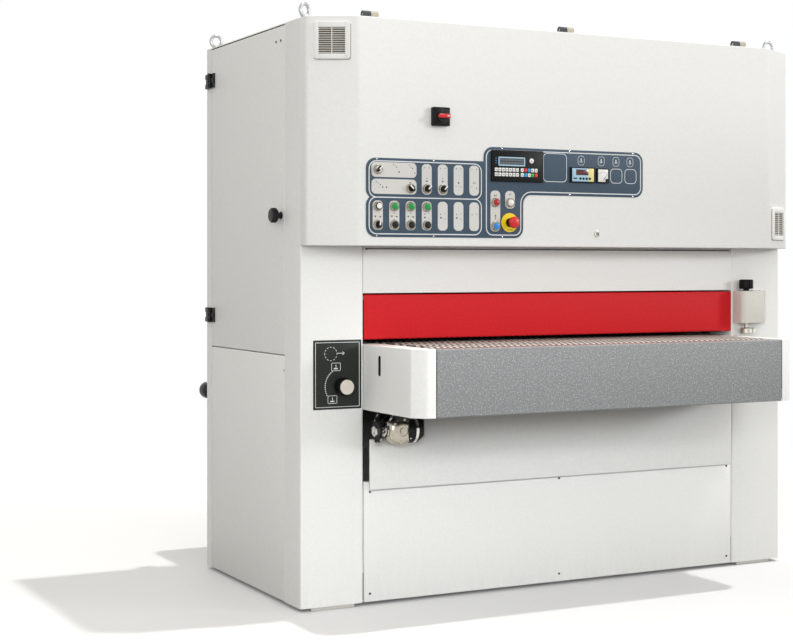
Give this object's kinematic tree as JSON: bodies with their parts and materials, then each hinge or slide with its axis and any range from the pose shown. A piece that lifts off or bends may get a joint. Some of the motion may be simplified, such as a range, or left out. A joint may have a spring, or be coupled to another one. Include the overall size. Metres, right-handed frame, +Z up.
{
  "type": "wide belt sander",
  "caption": "Floor-standing wide belt sander with a lifting conveyor table, a swing-up control hood and a side door for changing the abrasive belt.",
  "frame": {"origin": "middle of the four anchor bolt holes, on the floor", "axes": "+X to the right seen from the infeed front, +Y along the feed towards the outfeed, +Z up"},
  "size_m": [2.05, 1.618, 2.006],
  "materials": {
    "cabinet_paint": "satin",
    "panel_paint": "satin",
    "table_paint": "satin",
    "guard_paint": "gloss",
    "dark_paint": "satin",
    "machine_paint": "satin",
    "steel": "brushed",
    "bright_steel": "polished",
    "black_plastic": "matte",
    "green_plastic": "gloss",
    "red_plastic": "gloss",
    "blue_plastic": "gloss",
    "white_plastic": "gloss",
    "belt_rubber": "matte",
    "black_rubber": "matte",
    "abrasive": "matte"
  },
  "bodies": {
    "frame": {"base_frame": "dark_paint", "front_columns": "cabinet_paint", "rear_posts": "cabinet_paint", "side_panels": "cabinet_paint", "rear_panels": "cabinet_paint", "roof_panel": "cabinet_paint", "front_panels": "cabinet_paint", "lifting_eyes": "steel", "hinge_brackets": "dark_paint", "electrical_plate": "table_paint", "head_frame": "machine_paint", "abrasive_belt": "abrasive", "main_motor": "machine_paint", "drive_belts": "black_rubber", "dust_hood": "steel", "lift_drive": "machine_paint", "gauge_housing": "cabinet_paint"},
    "hood": {"hood": "cabinet_paint", "control_panel": "panel_paint", "panel_instruments": "black_plastic"},
    "table": {"table_frame": "machine_paint", "table_end_caps": "cabinet_paint", "table_fascias": "table_paint", "table_apron": "cabinet_paint", "conveyor_belt": "belt_rubber", "feed_gearmotor": "bright_steel"},
    "green_button_1": {"green_button_1": "green_plastic"},
    "green_button_2": {"green_button_2": "green_plastic"},
    "green_button_3": {"green_button_3": "green_plastic"},
    "black_button_1": {"black_button_1": "black_plastic"},
    "black_button_2": {"black_button_2": "black_plastic"},
    "black_button_3": {"black_button_3": "black_plastic"},
    "white_button": {"white_button": "white_plastic"},
    "blue_button": {"blue_button": "blue_plastic"},
    "emergency_stop": {"emergency_stop": "red_plastic"},
    "selector_1": {"selector_1": "steel"},
    "selector_2": {"selector_2": "black_plastic"},
    "selector_3": {"selector_3": "black_plastic"},
    "selector_4": {"selector_4": "black_plastic"},
    "selector_5": {"selector_5": "black_plastic"},
    "isolator_handle": {"isolator_handle": "red_plastic"},
    "hood_lock": {"hood_lock": "bright_steel"},
    "left_door": {"left_door": "cabinet_paint"},
    "door_latch_knob": {"door_latch_knob": "black_plastic"},
    "infeed_guard": {"infeed_guard": "guard_paint"},
    "drive_roller": {"drive_roller": "steel"},
    "idler_roller": {"idler_roller": "steel"},
    "feed_sprocket": {"feed_sprocket": "steel"},
    "left_jack_screw": {"left_jack_screw": "steel"},
    "right_jack_screw": {"right_jack_screw": "steel"},
    "contact_roller": {"contact_roller": "steel"},
    "tension_carriage": {"tension_carriage": "machine_paint"},
    "tension_roller": {"tension_roller": "steel"},
    "motor_pulley": {"motor_pulley": "steel"},
    "infeed_pressure_roller": {"infeed_pressure_roller": "black_rubber"},
    "outfeed_pressure_roller": {"outfeed_pressure_roller": "black_rubber"},
    "speed_knob": {"speed_knob": "black_plastic"},
    "gauge_knob": {"gauge_knob": "black_plastic"},
    "gauge_foot": {"gauge_foot": "bright_steel"},
    "regulator_knob": {"regulator_knob": "black_plastic"}
  },
  "joints": [
    {"name": "hood_swing", "type": "hinge", "parent": "frame", "child": "hood", "pos_m": [0, -0.438, 1.977], "axis": [-1, 0, 0], "range_deg": [0, 70]},
    {"name": "door_swing", "type": "hinge", "parent": "frame", "child": "left_door", "pos_m": [-1.014, 0.3835, 1.39], "axis": [0, 0, -1], "range_deg": [0, 110]},
    {"name": "latch_turn", "type": "hinge", "parent": "left_door", "child": "door_latch_knob", "pos_m": [-1.02, -0.279, 1.306], "axis": [1, 0, 0], "range_deg": [0, 90]},
    {"name": "lock_turn", "type": "hinge", "parent": "hood", "child": "hood_lock", "pos_m": [0.0795, -0.562, 1.248], "axis": [0, 1, 0], "range_deg": [0, 90]},
    {"name": "green_button_1_press", "type": "slide", "parent": "hood", "child": "green_button_1", "axis": [0, 1, 0], "range_m": [0, 0.004], "stiffness_N_per_m": 800},
    {"name": "green_button_2_press", "type": "slide", "parent": "hood", "child": "green_button_2", "axis": [0, 1, 0], "range_m": [0, 0.004], "stiffness_N_per_m": 800},
    {"name": "green_button_3_press", "type": "slide", "parent": "hood", "child": "green_button_3", "axis": [0, 1, 0], "range_m": [0, 0.004], "stiffness_N_per_m": 800},
    {"name": "black_button_1_press", "type": "slide", "parent": "hood", "child": "black_button_1", "axis": [0, 1, 0], "range_m": [0, 0.004], "stiffness_N_per_m": 800},
    {"name": "black_button_2_press", "type": "slide", "parent": "hood", "child": "black_button_2", "axis": [0, 1, 0], "range_m": [0, 0.004], "stiffness_N_per_m": 800},
    {"name": "black_button_3_press", "type": "slide", "parent": "hood", "child": "black_button_3", "axis": [0, 1, 0], "range_m": [0, 0.004], "stiffness_N_per_m": 800},
    {"name": "white_button_press", "type": "slide", "parent": "hood", "child": "white_button", "axis": [0, 1, 0], "range_m": [0, 0.004], "stiffness_N_per_m": 800},
    {"name": "blue_button_press", "type": "slide", "parent": "hood", "child": "blue_button", "axis": [0, 1, 0], "range_m": [0, 0.004], "stiffness_N_per_m": 800},
    {"name": "emergency_stop_press", "type": "slide", "parent": "hood", "child": "emergency_stop", "axis": [0, 1, 0], "range_m": [0, 0.006], "stiffness_N_per_m": 1500},
    {"name": "selector_1_turn", "type": "hinge", "parent": "hood", "child": "selector_1", "pos_m": [-0.784, -0.57, 1.4524], "axis": [0, 1, 0], "range_deg": [-45, 45]},
    {"name": "selector_2_turn", "type": "hinge", "parent": "hood", "child": "selector_2", "pos_m": [-0.663, -0.57, 1.3921], "axis": [0, 1, 0], "range_deg": [-45, 45]},
    {"name": "selector_3_turn", "type": "hinge", "parent": "hood", "child": "selector_3", "pos_m": [-0.6025, -0.57, 1.3921], "axis": [0, 1, 0], "range_deg": [-45, 45]},
    {"name": "selector_4_turn", "type": "hinge", "parent": "hood", "child": "selector_4", "pos_m": [-0.542, -0.57, 1.3921], "axis": [0, 1, 0], "range_deg": [-45, 45]},
    {"name": "selector_5_turn", "type": "hinge", "parent": "hood", "child": "selector_5", "pos_m": [-0.784, -0.57, 1.2715], "axis": [0, 1, 0], "range_deg": [-45, 45]},
    {"name": "isolator_turn", "type": "hinge", "parent": "hood", "child": "isolator_handle", "pos_m": [-0.5545, -0.59, 1.63306], "axis": [0, 1, 0], "range_deg": [0, 90]},
    {"name": "guard_swing", "type": "hinge", "parent": "frame", "child": "infeed_guard", "pos_m": [0, -0.427, 1.03], "axis": [1, 0, 0], "range_deg": [0, 10]},
    {"name": "table_lift", "type": "slide", "parent": "frame", "child": "table", "axis": [0, 0, 1], "range_m": [-0.11, 0.008]},
    {"name": "left_jack_screw_turn", "type": "hinge", "parent": "frame", "child": "left_jack_screw", "pos_m": [-0.835, -0.17, 0.12], "axis": [0, 0, 1], "range_deg": [-3970, 300]},
    {"name": "right_jack_screw_turn", "type": "hinge", "parent": "frame", "child": "right_jack_screw", "pos_m": [0.835, -0.17, 0.12], "axis": [0, 0, 1], "range_deg": [-3970, 300]},
    {"name": "feed_turn", "type": "hinge", "parent": "table", "child": "drive_roller", "pos_m": [0, -0.709, 0.812], "axis": [1, 0, 0], "continuous": true},
    {"name": "idler_turn", "type": "hinge", "parent": "table", "child": "idler_roller", "pos_m": [0, 0.709, 0.812], "axis": [1, 0, 0], "continuous": true},
    {"name": "feed_sprocket_turn", "type": "hinge", "parent": "table", "child": "feed_sprocket", "pos_m": [-0.74, -0.496, 0.589], "axis": [1, 0, 0], "continuous": true},
    {"name": "contact_turn", "type": "hinge", "parent": "frame", "child": "contact_roller", "pos_m": [0, 0, 0.962], "axis": [1, 0, 0], "continuous": true},
    {"name": "tension_slide", "type": "slide", "parent": "frame", "child": "tension_carriage", "axis": [0, 0, 1], "range_m": [-0.02, 0]},
    {"name": "tension_roller_turn", "type": "hinge", "parent": "tension_carriage", "child": "tension_roller", "pos_m": [0, 0, 1.76], "axis": [1, 0, 0], "continuous": true},
    {"name": "motor_turn", "type": "hinge", "parent": "frame", "child": "motor_pulley", "pos_m": [0.8, 0.22, 0.33], "axis": [1, 0, 0], "continuous": true},
    {"name": "infeed_press_turn", "type": "hinge", "parent": "frame", "child": "infeed_pressure_roller", "pos_m": [0, -0.15, 0.919], "axis": [1, 0, 0], "continuous": true},
    {"name": "outfeed_press_turn", "type": "hinge", "parent": "frame", "child": "outfeed_pressure_roller", "pos_m": [0, 0.15, 0.919], "axis": [1, 0, 0], "continuous": true},
    {"name": "speed_turn", "type": "hinge", "parent": "frame", "child": "speed_knob", "pos_m": [-0.855, -0.46, 0.737], "axis": [0, 1, 0], "range_deg": [-150, 150]},
    {"name": "gauge_turn", "type": "hinge", "parent": "frame", "child": "gauge_knob", "pos_m": [0.8215, -0.4685, 1.06], "axis": [0, 0, 1], "range_deg": [-180, 180]},
    {"name": "gauge_foot_slide", "type": "slide", "parent": "frame", "child": "gauge_foot", "axis": [0, 0, 1], "range_m": [0, 0.01], "stiffness_N_per_m": 2000},
    {"name": "regulator_turn", "type": "hinge", "parent": "frame", "child": "regulator_knob", "pos_m": [-0.969, 0.5, 0.662], "axis": [0, 1, 0], "range_deg": [-180, 180]}
  ],
  "couplings": [
    {"joint": "left_jack_screw_turn", "follows": "table_lift", "rad_per_m": 628.32},
    {"joint": "right_jack_screw_turn", "follows": "table_lift", "rad_per_m": 628.32},
    {"joint": "idler_turn", "follows": "feed_turn", "ratio": 1},
    {"joint": "feed_sprocket_turn", "follows": "feed_turn", "ratio": 1},
    {"joint": "motor_turn", "follows": "contact_turn", "ratio": 1},
    {"joint": "tension_roller_turn", "follows": "contact_turn", "ratio": 1}
  ]
}
